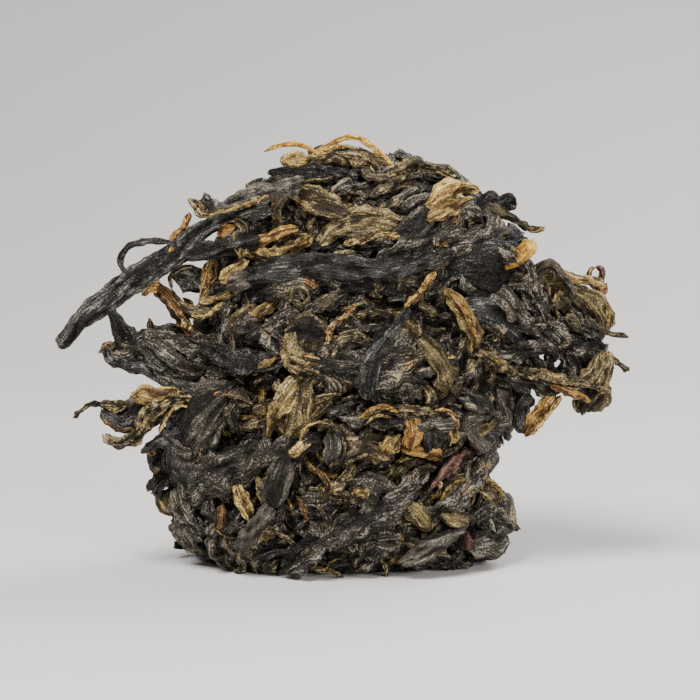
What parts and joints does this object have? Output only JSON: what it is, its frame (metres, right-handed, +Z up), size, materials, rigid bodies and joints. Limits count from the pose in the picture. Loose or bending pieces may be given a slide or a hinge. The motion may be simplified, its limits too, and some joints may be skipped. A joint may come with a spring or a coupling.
{
  "type": "piece of a black tea cake",
  "caption": "Ragged piece broken off a pressed black tea cake: rolled and twisted leaf strips on a dense core, loose strips standing out, resting on its flat broken edge.",
  "frame": {"origin": "middle of the flat foot that the piece stands on", "axes": "+Z up, +X along the width, to the right when looking at the front; -Y is the front"},
  "size_m": [0.0729, 0.0269, 0.0555],
  "materials": {
    "pressed_tea": "dry black tea leaf, rolled and pressed: charcoal to dark brown with golden tips, dull with a faint sheen"
  },
  "bodies": {
    "root": {"tea_piece": "pressed_tea"}
  },
  "joints": []
}
